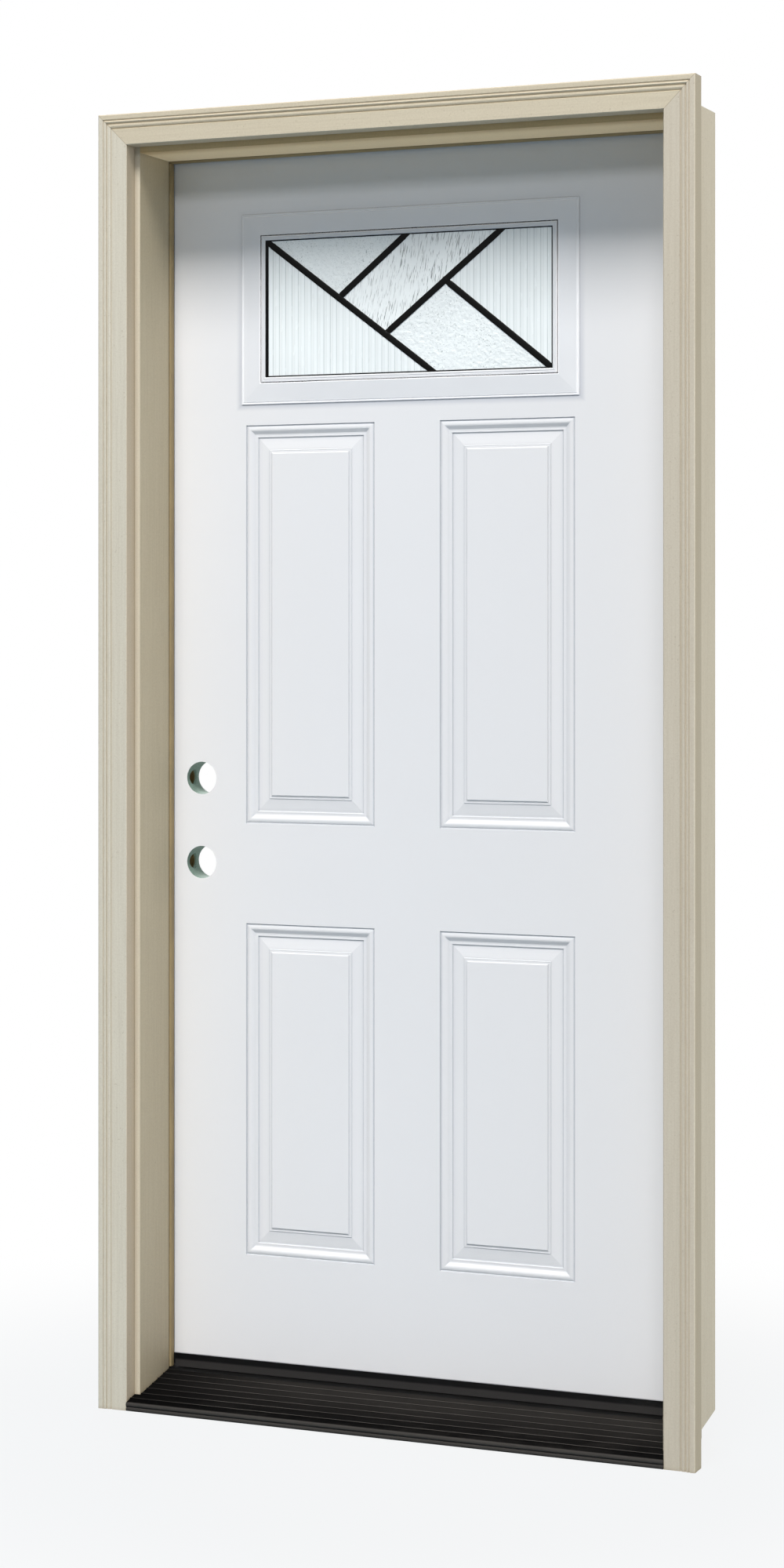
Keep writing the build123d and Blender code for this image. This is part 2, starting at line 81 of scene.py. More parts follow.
def display(red, green, blue):
    """Linear colour for a display colour given in 0 to 255."""
    def linear(v):
        v = v / 255
        return v / 12.92 if v <= 0.04045 else ((v + 0.055) / 1.055) ** 2.4
    return (linear(red), linear(green), linear(blue))


# Sizes and colours


def colour_property(name, description, value):
    return bpy.props.FloatVectorProperty(name=name, description=description, subtype="COLOR", size=3,
                                         min=0.0, max=1.0, default=value)


def length_property(name, description, value):
    return bpy.props.FloatProperty(name=name, description=description, subtype="DISTANCE", unit="LENGTH",
                                   min=0.0, default=value)


class DoorColours(bpy.types.PropertyGroup):
    """Finish colours of the door and its frame"""
    casing: colour_property("Casing", "Factory primer on the brick moulding", display(218, 210, 192))
    jamb: colour_property("Jamb", "Factory primer on the jambs", display(207, 193, 163))
    seal: colour_property("Seal", "Skin of the foam weatherstrip", display(167, 146, 106))
    sill: colour_property("Sill", "Dark bronze finish of the sill deck", display(7, 7, 7))
    # This colour is a painted highlight on the crests of the sill ribs; darker shares of it tint the scuffs
    # and the painted sheen of the deck.
    rib_wear_and_highlight: colour_property("Rib wear", "Bare crests of the sill ribs", display(96, 92, 88))
    skin: colour_property("Skin", "White prime coat of the steel skins", display(239, 237, 237))
    lite_frame: colour_property("Lite frame", "Moulded frame round the glass", display(237, 236, 237))
    timber: colour_property("Timber", "Stiles and rails at the slab's edges", display(198, 160, 108))
    lock_block: colour_property("Lock block", "Composite block behind the bores", display(102, 121, 110))
    leading: colour_property("Leading", "Black patina on the lead", display(3, 3, 3))
    glass: colour_property("Glass", "Tint of the textured glass", display(247, 251, 250))
    hinge: colour_property("Hinge", "Plated hinge steel", display(196, 195, 190))
    rubber: colour_property("Rubber", "Vinyl door bottom", display(12, 12, 13))


class DoorSizes(bpy.types.PropertyGroup):
    """Sizes of the pieces that are added to the solids"""
    face_width: length_property("Lite face width", "Lite frame from its outer edge to the glass", 0.044)
    came_width: length_property("Lead width", "Width of the rounded lead strips", 0.0106)
    came_height: length_property("Lead height", "Rise of the rounded lead above its flange", 0.0009)
    solder_radius: length_property("Solder radius", "Size of a soldered joint", 0.0054)
    flute_pitch: length_property("Flute pitch", "Distance between the flutes of the reeded glass", 0.0114)
    relief: length_property("Glass relief", "Depth of the pattern in the textured glass", 0.0009)
    screw_radius: length_property("Screw radius", "Head of a hinge screw", 0.0041)
    plug_radius: length_property("Plug radius", "Cap over a screw of the inner lite frame", 0.0048)


# Node materials


class Value:
    """A shader socket that takes part in sums; every operator adds one Math node."""

    def __init__(self, nodes, socket):
        self.nodes = nodes
        self.socket = socket

    def math(self, operation, *values):
        sockets = dict(enumerate(values))
        return self.nodes.node("ShaderNodeMath", {"operation": operation}, sockets)

    def __add__(self, other):
        return self.math("ADD", self, other)

    def __radd__(self, other):
        return self.math("ADD", other, self)

    def __sub__(self, other):
        return self.math("SUBTRACT", self, other)

    def __rsub__(self, other):
        return self.math("SUBTRACT", other, self)

    def __mul__(self, other):
        return self.math("MULTIPLY", self, other)

    def __rmul__(self, other):
        return self.math("MULTIPLY", other, self)

    def __truediv__(self, other):
        return self.math("DIVIDE", self, other)

    def __pow__(self, other):
        return self.math("POWER", self, other)

    def __mod__(self, other):
        return self.math("FLOORED_MODULO", self, other)

    def __abs__(self):
        return self.math("ABSOLUTE", self)


class Nodes:
    """The shader nodes of a material or of the world, being built."""

    def __init__(self, owner):
        owner.use_nodes = True
        self.tree = owner.node_tree
        self.tree.nodes.clear()

    def node(self, kind, settings=None, sockets=None, out=0):
        """Adds a node: its settings first, then the numbers or links of its sockets."""
        made = self.tree.nodes.new(kind)
        for key, value in (settings or {}).items():
            setattr(made, key, value)
        for key, value in (sockets or {}).items():
            if isinstance(value, Value):
                self.tree.links.new(value.socket, made.inputs[key])
            else:
                made.inputs[key].default_value = value
        return Value(self, made.outputs[out])

    def end(self, shader, kind="ShaderNodeOutputMaterial"):
        """Leads the shader to the tree's output."""
        out = self.tree.nodes.new(kind)
        self.tree.links.new(shader.socket, out.inputs["Surface"])


class Finish(Nodes):
    """A node material being built. The pattern's place is the object's own coordinates."""

    def __init__(self, name):
        self.material = bpy.data.materials.new(name)
        super().__init__(self.material)
        self.place = self.node("ShaderNodeTexCoord", out="Object")

    def axis(self, name):
        """One coordinate of the place."""
        return self.node("ShaderNodeSeparateXYZ", {}, {0: self.place}, name)

    def noise(self, scale, stretch=(1, 1, 1), detail=2.0, rough=0.5, twist=0.0):
        """Cloudy values between 0 and 1; scale is features per metre."""
        place = self.node("ShaderNodeMapping", {}, {"Vector": self.place, "Scale": stretch})
        return self.node("ShaderNodeTexNoise", {}, {"Vector": place, "Scale": scale, "Detail": detail,
                                                    "Roughness": rough, "Distortion": twist})

    def cells(self, scale, feature="F1", stretch=(1, 1, 1)):
        """Distance to the nearest of scattered points."""
        place = self.node("ShaderNodeMapping", {}, {"Vector": self.place, "Scale": stretch})
        return self.node("ShaderNodeTexVoronoi", {"feature": feature}, {"Vector": place, "Scale": scale},
                         "Distance")

    def hollow(self, reach, open_share, alone=True):
        """1 in grooves and inner corners within the reach, 0 on open faces; alone leaves out other
        pieces."""
        open_sky = self.node("ShaderNodeAmbientOcclusion", {"samples": 8, "only_local": alone},
                             {"Distance": reach}, "AO")
        return 1 - self.between(open_sky, open_share, 1.0)

    def between(self, value, low, high, to_low=0.0, to_high=1.0):
        """The value carried smoothly from one range to another and held inside it."""
        return self.node("ShaderNodeMapRange", {"interpolation_type": "SMOOTHSTEP"},
                         {"Value": value, "From Min": low, "From Max": high,
                          "To Min": to_low, "To Max": to_high})

    def mix(self, factor, first, second):
        """Two colours mixed by a value."""
        sockets = {0: factor, 6: first, 7: second}
        for key in (6, 7):
            if not isinstance(sockets[key], Value):
                sockets[key] = (*sockets[key], 1.0)
        return self.node("ShaderNodeMix", {"data_type": "RGBA"}, sockets, 2)

    def bump(self, height, distance, strength=1.0, under=None):
        """Relief of so many metres."""
        sockets = {"Height": height, "Distance": distance, "Strength": strength}
        if under is not None:
            sockets["Normal"] = under
        return self.node("ShaderNodeBump", {}, sockets)

    def surface(self, colour, roughness, normal=None, **fixed):
        """The shader itself; fixed holds the numbers that are the same all over."""
        if not isinstance(colour, Value):
            colour = (*colour, 1.0)
        sockets = {"Base Color": colour, "Roughness": roughness}
        if normal is not None:
            sockets["Normal"] = normal
        sockets.update({key.replace("_", " "): value for key, value in fixed.items()})
        self.end(self.node("ShaderNodeBsdfPrincipled", {}, sockets))
        return self.material


def tinted(colour, *shares):
    return tuple(c * share for c, share in zip(colour, shares))


def darker(colour, share):
    return tinted(colour, share, share, share)


def primed_paint(name, colour, grain, faces, mitre=None, lift=0.0, underside=None):
    """Beige primer over fine wood grain that runs along the stretch given, with painted shade in grooves
    and corners. Each of the faces (axis, edge, sign, colour) takes its own colour past the edge, X being
    counted from the middle; mitre is the top outer corner (x, z) that a sloping joint runs down from;
    lift is painted light, an emission in the grooves; underside is the height of a face that gets
    painted light, an emission near the slab behind it."""
    f = Finish(name)
    cloud = f.noise(3.0, detail=3.0)
    streak = f.noise(420.0, grain, detail=3.0, rough=0.6)
    pores = f.noise(900.0, grain, detail=1.0)
    speck = f.noise(260.0, detail=1.0)
    mottle = f.noise(340.0, detail=2.0, rough=0.7)
    across = abs(f.axis("X"))
    paint = colour
    # Painted light and shade: each face's own colour is a lighter or darker copy of the paint.
    for axis, edge, sign, own in faces:
        past = ((across if axis == "X" else f.axis(axis)) - edge) * sign
        colour = f.mix(f.between(past, -0.0006, -0.0002), colour, own)
    dark = f.mix(0.6, colour, display(132, 106, 66))
    tone = f.mix(f.between(cloud, 0.3, 0.7) * 0.07, colour, dark)
    tone = f.mix(f.between(streak, 0.35, 0.75) * 0.16, tone, dark)
    tone = f.mix(f.between(speck, 0.70, 0.78) * 0.4, tone, dark)
    tone = f.mix(f.between(mottle, 0.3, 0.7) * 0.18, tone, dark)
    if mitre:
        x, z = mitre
        joint = abs(across - f.axis("Z") + (z - x))
        tone = f.mix((1 - f.between(joint, 0.0003, 0.0011)) * 0.75, tone, dark)
    # Painted shade in grooves and corners, also where other pieces meet it.
    tone = f.mix(f.hollow(0.007, 0.45, alone=False) * 0.5, tone, dark)
    # Painted light: an emission of the paint's tone in the grooves, at the strength lift.
    glow = f.mix(f.hollow(0.005, 0.5), (0, 0, 0), tinted(paint, lift, lift * 0.92, lift * 0.78))
    # Painted light: an emission on the face that looks down, near the slab behind it.
    if underside:
        facing_down = 1 - f.between(f.axis("Z"), underside + 0.0005, underside + 0.0015)
        glow = f.mix(facing_down * f.between(f.axis("Y"), 0.0, 0.045), glow, display(105, 103, 91))
    normal = f.bump(streak, 0.00012, 0.55, f.bump(pores, 0.00005, 0.4))
    return f.surface(tone, f.between(streak, 0.2, 0.8, 0.50, 0.64), normal, Emission_Color=glow,
                     Emission_Strength=1.0)


def foam_seal(name, colour, stretch):
    """Thin matt film over soft foam: small creases across the seal, darkened as painted shade, a cloudy
    tone, and painted shade where the seal meets other parts.
    """
    f = Finish(name)
    crease = f.noise(240.0, stretch, detail=2.0, rough=0.6)
    cloud = f.noise(14.0, detail=2.0)
    tone = f.mix(f.between(cloud, 0.3, 0.7), darker(colour, 0.86), darker(colour, 1.06))
    # Painted shade in the creases.
    tone = f.mix(f.between(crease, 0.55, 0.8) * 0.5, tone, darker(colour, 0.72))
    # Painted shade where the seal meets other parts.
    tone = f.mix(f.hollow(0.004, 0.5, alone=False) * 0.5, tone, darker(colour, 0.5))
    return f.surface(tone, f.between(cloud, 0.3, 0.7, 0.58, 0.74), f.bump(crease, 0.0004, 0.6))


def bronze_sill(name, colour, wear_and_highlight):
    """Dark bronze metal brushed along the sill, with scuffs and a lighter nose; a painted highlight on the
    crest of each rib and a painted sheen towards the back, the lighter marks fading towards the lock
    side as painted shade.
    """
    f = Finish(name)
    y = f.axis("Y")
    brush = f.noise(900.0, (0.02, 1, 1), detail=3.0, rough=0.7)
    scuff = f.noise(9.0, (1, 3, 3), detail=4.0, rough=0.65)
    from_rib = abs((y - RIB_START) % RIB_PITCH - RIB_PITCH / 2)
    # Painted highlight on the crest of each rib, broken by scuffs and fading towards the lock side.
    crest = (1 - f.between(from_rib, 0.0004, 0.0011)) * f.between(scuff, 0.30, 0.55, 0.55, 0.85)
    crest = crest * f.between(f.axis("X"), -0.46, -0.25, 0.35, 1.0)
    nose = 1 - f.between(y, -0.0305, -0.0275)
    # Painted shade: the lighter marks below fade towards the lock side.
    along = f.between(f.axis("X"), -0.46, -0.15, 0.15, 1.0)
    tone = f.mix(f.between(scuff, 0.45, 0.75) * along * 0.2, colour, darker(wear_and_highlight, 0.3))
    tone = f.mix(f.between(brush, 0.45, 0.8) * along * 0.15, tone, darker(wear_and_highlight, 0.4))
    # Painted sheen, lighter towards the back of the deck.
    tone = f.mix(f.between(y, -0.03, 0.10) * along * 0.65, tone, darker(wear_and_highlight, 0.26))
    tone = f.mix(crest.math("MAXIMUM", crest, nose * 0.42), tone, wear_and_highlight)
    rough = f.between(scuff, 0.3, 0.7, 0.42, 0.58)
    return f.surface(tone, rough, f.bump(brush, 0.00006, 0.5), Specular_IOR_Level=0.004)


def steel_prime(name, colour, sweep_end, sweep_top):
    """White prime coat: fine orange peel, faint clouding, dust, a slightly varied gloss, and painted shade:
    darker towards the hinge side, in the grooves, in a thin line where other parts meet it, round the lite
    frame, and as a black patch at the bottom corners beyond the ends of the door bottom."""
    f = Finish(name)
    peel = f.noise(520.0, detail=2.0, rough=0.55)
    wave = f.noise(11.0, detail=2.0)
    cloud = f.noise(2.2, detail=3.0)
    dust = f.noise(75.0, detail=4.0, rough=0.7)
    tone = f.mix(f.between(cloud, 0.3, 0.7), darker(colour, 0.985), colour)
    # Painted shade: a little darker towards the hinge side.
    tone = f.mix(f.between(f.axis("X"), -0.15, 0.42) * 0.85, tone, darker(colour, 0.94))
    tone = f.mix(f.between(dust, 0.62, 0.8) * 0.25, tone, darker(colour, 0.90))
    shade = tinted(colour, 0.62, 0.64, 0.69)
    # Painted shade in the grooves.
    tone = f.mix(f.hollow(0.009, 0.72), tone, shade)
    # Painted shade in a thin line where other parts meet the skin, such as the seals.
    tone = f.mix(f.hollow(0.0022, 0.6, alone=False) * 0.6, tone, display(96, 98, 104))
    # Painted shadow round the lite frame, stronger below it than above it.
    middle, half = (LITE_LOW + LITE_HIGH) / 2, (LITE_HIGH - LITE_LOW) / 2
    out = abs(f.axis("X") - middle.x) - half.x
    out = out.math("MAXIMUM", out, abs(f.axis("Z") - middle.z) - half.z)
    soft = (1 - f.between(out, 0.0, 0.012)) * f.between(f.axis("Z"), LITE_LOW.z, LITE_HIGH.z, 0.75, 0.15)
    tone = f.mix(soft, tone, shade)
    # Painted shade: a black patch on the skin at the bottom corners, beyond the ends of the door bottom.
    low_end = f.between(abs(f.axis("X")), sweep_end - 0.0004, sweep_end)
    low_end = low_end * (1 - f.between(f.axis("Z"), sweep_top, sweep_top + 0.0004))
    low_end = low_end * (1 - f.between(f.axis("Y"), SKIN_LOW.y + 0.004, SKIN_LOW.y + 0.006))
    tone = f.mix(low_end, tone, display(20, 20, 21))
    normal = f.bump(peel, 0.00010, 0.35, f.bump(wave, 0.0006, 0.10))
    return f.surface(tone, f.between(dust, 0.3, 0.7, 0.36, 0.46), normal)


def moulded_plastic(name, colour):
    """White moulded frame with a fine leather grain; the bead beside the glass is a little darker, and
    the groove round it and the outer rim get painted light, an emission that fades towards the top."""
    f = Finish(name)
    grain = f.cells(950.0, "SMOOTH_F1")
    cloud = f.noise(6.0, detail=3.0)
    tone = f.mix(f.between(cloud, 0.3, 0.7), darker(colour, 0.965), colour)
    middle, width = (LITE_LOW + LITE_HIGH) / 2, bpy.context.scene.entry_door_sizes.face_width
    past = abs(f.axis("X") - middle.x) - (LITE_HIGH.x - middle.x - width)
    past = past.math("MAXIMUM", past, abs(f.axis("Z") - middle.z) - (LITE_HIGH.z - middle.z - width))
    bead = 1 - f.between(past, 0.0072, 0.0078)
    groove = f.between(past, 0.0058, 0.0068) * (1 - f.between(past, 0.0094, 0.0108))
    rim = f.between(past, width - 0.0055, width - 0.0045)
    tone = f.mix(bead, tone, darker(colour, 0.95))
    # Painted light: an emission in the groove and, weaker, on the outer rim, fading towards the top.
    lift = groove.math("MAXIMUM", groove, rim * 0.35)
    lift = lift * f.between(f.axis("Z"), middle.z, LITE_HIGH.z - width, 1.0, 0.12)
    glow = f.mix(lift, (0, 0, 0), darker(colour, 0.40))
    return f.surface(tone, f.between(cloud, 0.3, 0.7, 0.40, 0.5), f.bump(grain, 0.00008, 0.35),
                     Emission_Color=glow, Emission_Strength=1.0)


def sealed_timber(name, colour, along):
    """Softwood: growth rings cut along the grain, with fine fibres."""
    f = Finish(name)
    rings = f.noise(60.0, along, detail=3.0, rough=0.5, twist=1.4)
    fibre = f.noise(700.0, along, detail=3.0, rough=0.7)
    band = f.between(abs((rings * 9.0) % 1.0 - 0.5), 0.05, 0.45)
    tone = f.mix(band, darker(colour, 0.68), darker(colour, 1.05))
    tone = f.mix(f.between(fibre, 0.4, 0.8) * 0.4, tone, darker(colour, 0.75))
    return f.surface(tone, f.between(fibre, 0.3, 0.7, 0.48, 0.62), f.bump(fibre, 0.0002, 0.5))


def pressed_board(name, colour, chip_scale, lift=0.0):
    """Composite board: flakes of slightly different tone with small pores; lift is painted light, an
    emission of its own tone that lightens it inside a bore."""
    f = Finish(name)
    flake = f.cells(chip_scale, "F1", (1, 1, 2.2))
    pore = f.noise(chip_scale * 3.0, detail=3.0, rough=0.7)
    tone = f.mix(f.between(flake, 0.1, 0.7), darker(colour, 1.10), darker(colour, 0.80))
    tone = f.mix(f.between(pore, 0.6, 0.75) * 0.5, tone, darker(colour, 0.6))
    # Painted light: the board gives out its own tone at the strength lift.
    return f.surface(tone, f.between(pore, 0.3, 0.7, 0.6, 0.78), f.bump(pore, 0.0003, 0.5),
                     Emission_Color=tone, Emission_Strength=lift)


def rigid_foam(name, colour):
    """Foamed core: open cells."""
    f = Finish(name)
    bubble = f.cells(480.0)
    tone = f.mix(f.between(bubble, 0.1, 0.6), darker(colour, 0.7), colour)
    return f.surface(tone, f.between(bubble, 0.1, 0.6, 0.8, 0.9), f.bump(bubble, 0.0008, 0.8))


def threshold_plastic(name, colour):
    """Dark composite with a fine grain and a little polish where it is walked on."""
    f = Finish(name)
    grain = f.noise(700.0, (0.05, 1, 1), detail=3.0, rough=0.6)
    scuff = f.noise(16.0, (1, 3, 1), detail=4.0)
    tone = f.mix(f.between(scuff, 0.45, 0.75) * 0.5, colour, darker(colour, 1.9))
    return f.surface(tone, f.between(scuff, 0.3, 0.7, 0.36, 0.52), f.bump(grain, 0.00015, 0.5),
                     Specular_IOR_Level=0.2)


def soft_vinyl(name, colour):
    """Black vinyl: extrusion lines along its length, dusty patches, and a painted sheen that makes its lower
    edge lighter.
    """
    f = Finish(name)
    line = f.noise(1200.0, (0.01, 1, 1), detail=1.0)
    dust = f.noise(20.0, (0.6, 2, 2), detail=4.0, rough=0.7)
    low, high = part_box("door_sweep")
    # Painted sheen: the lower edge of the door bottom is lighter.
    painted_sheen = 1 - f.between(f.axis("Z"), low.z + 0.010, high.z - 0.008)
    tone = f.mix(painted_sheen, colour, display(52, 50, 49))
    tone = f.mix(f.between(dust, 0.5, 0.8) * 0.3, tone, display(60, 59, 56))
    return f.surface(tone, f.between(dust, 0.3, 0.7, 0.42, 0.6), f.bump(line, 0.00008, 0.5),
                     Specular_IOR_Level=0.1)


def plated_steel(name, colour):
    """Satin plating: brushed along the hinge, with faint smudges."""
    f = Finish(name)
    brush = f.noise(1400.0, (1, 1, 0.03), detail=3.0, rough=0.7)
    smudge = f.noise(45.0, detail=3.0)
    tone = f.mix(f.between(brush, 0.3, 0.8), colour, darker(colour, 0.78))
    rough = f.between(smudge, 0.3, 0.7, 0.26, 0.40)
    return f.surface(tone, rough, f.bump(brush, 0.00003, 0.5), Metallic=1.0)


def lead_patina(name, colour):
    """Black patina over lead: soft dents, and grey rubbed high spots."""
    f = Finish(name)
    dent = f.noise(110.0, detail=3.0, rough=0.6)
    rub = f.noise(300.0, detail=3.0, rough=0.7)
    tone = f.mix(f.between(rub, 0.6, 0.8) * 0.25, colour, display(46, 47, 50))
    rough = f.between(dent, 0.3, 0.7, 0.42, 0.6)
    return f.surface(tone, rough, f.bump(dent, 0.0005, 0.6), Specular_IOR_Level=0.1)


def clear_pane(name, colour):
    """Clear glass kept light: mostly see-through, with a soft film and its own reflections."""
    f = Finish(name)
    film = f.noise(5.0, detail=4.0, rough=0.6)
    return f.surface(colour, f.between(film, 0.3, 0.7, 0.015, 0.05), Alpha=0.10, IOR=1.5)


def pressed_glass(f, colour, mark, share, height, distance, glow=0.035, dark=(96, 110, 110)):
    """Pressed glass that takes light like a frosted sheet; mark is where its relief looks dark, painted as
    shade; a dark line along its foot is painted shade, and glow is painted light, a faint white emission.
    """
    cloud = f.noise(7.0, detail=3.0)
    tone = f.mix(f.between(cloud, 0.3, 0.7), darker(colour, 0.95), colour)
    tone = f.mix(mark * share, tone, display(*dark))
    # Painted shade: a dark line along the foot of the glass.
    sight = LITE_LOW.z + bpy.context.scene.entry_door_sizes.face_width
    foot = 1 - f.between(f.axis("Z"), sight + 0.0018, sight + 0.0030)
    tone = f.mix(foot * 0.85, tone, display(60, 68, 68))
    # Painted light: a faint white emission of strength glow.
    return f.surface(tone, f.between(height, 0.2, 0.8, 0.14, 0.30), f.bump(height, distance, 0.7),
                     Transmission_Weight=0.04, IOR=1.45, Emission_Color=(1, 1, 1, 1), Emission_Strength=glow)


def reeded_glass(colour, pitch):
    """Vertical flutes, with painted shade: a fine dark line in each valley and a softer shade up one side."""
    f = Finish("pressed_reeded")
    step = (f.axis("X") / pitch + 0.5) % 1 - 0.5
    valley = 1 - f.between(abs(step), 0.0, 0.11)
    shade = f.between(step, 0.02, 0.48) * 0.35
    waver = f.noise(30.0, (1, 1, 0.2), detail=2.0)
    mark = valley.math("MAXIMUM", valley * f.between(waver, 0.3, 0.6, 0.45, 1.0), shade * 0.5)
    ripple = f.noise(160.0, (1, 1, 0.15), detail=2.0)
    return pressed_glass(f, colour, mark, 0.40, ripple, 0.0003, 0.05)


def granite_glass(colour):
    """Small pebbles: curled dark flecks round light grains."""
    f = Finish("pressed_granite")
    grain = f.noise(390.0, detail=2.0, rough=0.55, twist=1.2)
    patch = f.noise(22.0, detail=2.0)
    fleck = f.between(grain, 0.56, 0.70) * f.between(patch, 0.35, 0.65, 0.45, 1.0)
    return pressed_glass(f, colour, fleck, 0.66, grain, 0.0007, 0.05)


def rain_glass(colour):
    """Running rain: short dark streaks that lean a little, thicker in some places than in others."""
    f = Finish("pressed_rain")
    leaning = f.node("ShaderNodeMapping", {}, {"Vector": f.place, "Rotation": (0, math.radians(-10), 0)})
    streak = f.node("ShaderNodeTexNoise", {}, {
        "Vector": f.node("ShaderNodeMapping", {}, {"Vector": leaning, "Scale": (1, 1, 0.065)}),
        "Scale": 660.0, "Detail": 2.0, "Distortion": 0.4})
    patch = f.noise(20.0, (1, 1, 0.7), detail=2.0)
    mark = f.between(streak, 0.55, 0.64) * f.between(patch, 0.36, 0.60, 0.40, 1.0)
    return pressed_glass(f, colour, mark, 0.85, streak, 0.0006, 0.09, (62, 72, 74))


def edge_spacer(name):
    """Dark anodised spacer with a row of breather holes."""
    f = Finish(name)
    dots = f.cells(260.0)
    brush = f.noise(900.0, detail=2.0)
    tone = f.mix(f.between(dots, 0.15, 0.25), display(12, 12, 12), display(58, 58, 60))
    return f.surface(tone, f.between(brush, 0.3, 0.7, 0.32, 0.48), f.bump(brush, 0.00006, 0.4), Metallic=0.6)


def dress(material, *nodes):
    """Gives CAD nodes a material."""
    for node in nodes:
        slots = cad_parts[node].data.materials
        slots.clear()
        slots.append(material)


# Mesh pieces


def grid_faces(rows, cols, closed=False):
    """Quads between neighbouring points of a grid; closed joins the last column to the first."""
    i = np.arange(rows - 1)[:, None]
    j = np.arange(cols if closed else cols - 1)[None, :]
    k = (j + 1) % cols
    return np.stack([i * cols + j, i * cols + k, (i + 1) * cols + k, (i + 1) * cols + j], -1).reshape(-1, 4)


def shell(front, back):
    """Points and quads of the closed body between two grids of the same shape."""
    rows, cols = front.shape[:2]
    count = rows * cols
    faces = grid_faces(rows, cols)
    index = np.arange(count).reshape(rows, cols)
    rim = np.concatenate([index[0, :-1], index[:-1, -1], index[-1, :0:-1], index[:0:-1, 0]])
    after = np.roll(rim, -1)
    sides = np.stack([rim, rim + count, after + count, after], -1)
    points = np.concatenate([front.reshape(-1, 3), back.reshape(-1, 3)])
    return points, np.concatenate([faces, faces[:, ::-1] + count, sides])


def joined(parts):
    """Several (points, quads) as one."""
    starts = np.cumsum([0] + [len(points) for points, quads in parts[:-1]])
    points = np.concatenate([points for points, quads in parts])
    quads = np.concatenate([quads + start for (_, quads), start in zip(parts, starts)])
    return points, quads


def make_piece(name, shape, material, body, sharp=32.0):
    """A mesh object from points and quads, merged where points meet, its faces turned outwards."""
    points, quads = shape
    mesh = bpy.data.meshes.new(name)
    mesh.vertices.add(len(points))
    mesh.vertices.foreach_set("co", np.asarray(points, np.float32).ravel())
    mesh.loops.add(quads.size)
    mesh.loops.foreach_set("vertex_index", np.asarray(quads, np.int32).ravel())
    mesh.polygons.add(len(quads))
    mesh.polygons.foreach_set("loop_start", np.arange(0, quads.size, 4, dtype=np.int32))
    mesh.update(calc_edges=True)
    work = bmesh.new()
    work.from_mesh(mesh)
    bmesh.ops.remove_doubles(work, verts=work.verts, dist=2e-6)
    bmesh.ops.recalc_face_normals(work, faces=work.faces)
    work.to_mesh(mesh)
    work.free()
    mesh.polygons.foreach_set("use_smooth", np.ones(len(mesh.polygons), bool))
    mesh.set_sharp_from_angle(angle=math.radians(sharp))
    mesh.materials.append(material)
    piece = bpy.data.objects.new(name, mesh)
    bpy.context.scene.collection.objects.link(piece)
    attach(piece, body)
    return piece


def leading(sizes):
    """Centre lines of the lead in the glass plane, as pairs of (x, z) points, and their joints. One long
    line falls from the top lock side corner, and the others rise from it and from each other."""
    width = sizes.face_width
    low = np.array([LITE_LOW.x + width, LITE_LOW.z + width])
    high = np.array([LITE_HIGH.x - width, LITE_HIGH.z - width])
    span = high - low
    corner = low + span * (0, 1)
    long_end = low + span * (0.594, 0)
    first_joint = corner + (long_end - corner) * 0.442
    second_joint = corner + (long_end - corner) * 0.717
    first_end = low + span * (0.502, 1)
    second_end = low + span * (0.830, 1)
    third_joint = second_joint + (second_end - second_joint) * 0.517
    last = low + span * (1, 0)
    lines = [(corner, long_end), (first_joint, first_end), (second_joint, second_end), (third_joint, last)]
    return lines, [first_joint, second_joint, third_joint]


def clip(corners, a, b, keep, gap):
    """The part of a polygon on one side of the line from a to b, held back from it by a gap."""
    along = (b - a) / np.linalg.norm(b - a)
    across = np.array([-along[1], along[0]]) * keep
    distance = (corners - a) @ across - gap
    result = []
    for here, there, d, e in zip(corners, np.roll(corners, -1, 0), distance, np.roll(distance, -1)):
        if d >= 0:
            result.append(here)
        if d * e < 0:
            result.append(here + (there - here) * d / (d - e))
    return np.array(result)


def pane_columns(corners, step_x, step_z):
    """Grid of (x, z) points over a convex pane: even columns in x, each divided from its lower to its
    upper edge."""
    columns = max(3, int(np.ptp(corners[:, 0]) / step_x) + 1)
    rows = max(3, int(np.ptp(corners[:, 1]) / step_z) + 1)
    x = np.linspace(corners[:, 0].min() + 1e-5, corners[:, 0].max() - 1e-5, columns)
    a = corners
    b = np.roll(corners, -1, 0)
    keep = np.abs(b[:, 0] - a[:, 0]) > 1e-6
    a, b = a[keep], b[keep]
    share = (x[:, None] - a[:, 0]) / (b[:, 0] - a[:, 0])
    z = a[:, 1] + share * (b[:, 1] - a[:, 1])
    inside = (share >= -1e-6) & (share <= 1 + 1e-6)
    low = np.where(inside, z, np.inf).min(1)
    high = np.where(inside, z, -np.inf).max(1)
    t = np.linspace(0, 1, rows)[:, None]
    return np.broadcast_to(x, (rows, columns)), low + t * (high - low)


def lattice_noise(x, z, cell_x, cell_z, seed):
    """Seeded random heights on a lattice, joined smoothly: values between 0 and 1."""
    cells = 64
    table = np.random.default_rng(seed).random((cells, cells))
    u, v = x / cell_x, z / cell_z
    i, j = np.floor(u).astype(int), np.floor(v).astype(int)
    s, t = u - i, v - j
    s, t = s * s * (3 - 2 * s), t * t * (3 - 2 * t)
    i, j, k, m = i % cells, j % cells, (i + 1) % cells, (j + 1) % cells
    a, b, c, d = table[i, j], table[k, j], table[i, m], table[k, m]
    return (a * (1 - s) + b * s) * (1 - t) + (c * (1 - s) + d * s) * t


def reeded(x, z, sizes):
    """Round flutes: the height is the absolute sine of x, with a slight waver."""
    waver = 0.04 * lattice_noise(x, z, 0.02, 0.06, 3)
    return np.abs(np.sin(math.pi * x / sizes.flute_pitch)) * (1 - waver)


def granite(x, z, sizes):
    """Small pebbles: two sizes of random lattice added, the finer one at less than half height."""
    return 0.62 * lattice_noise(x, z, 0.0042, 0.0042, 5) + 0.38 * lattice_noise(x, z, 0.0021, 0.0021, 7)


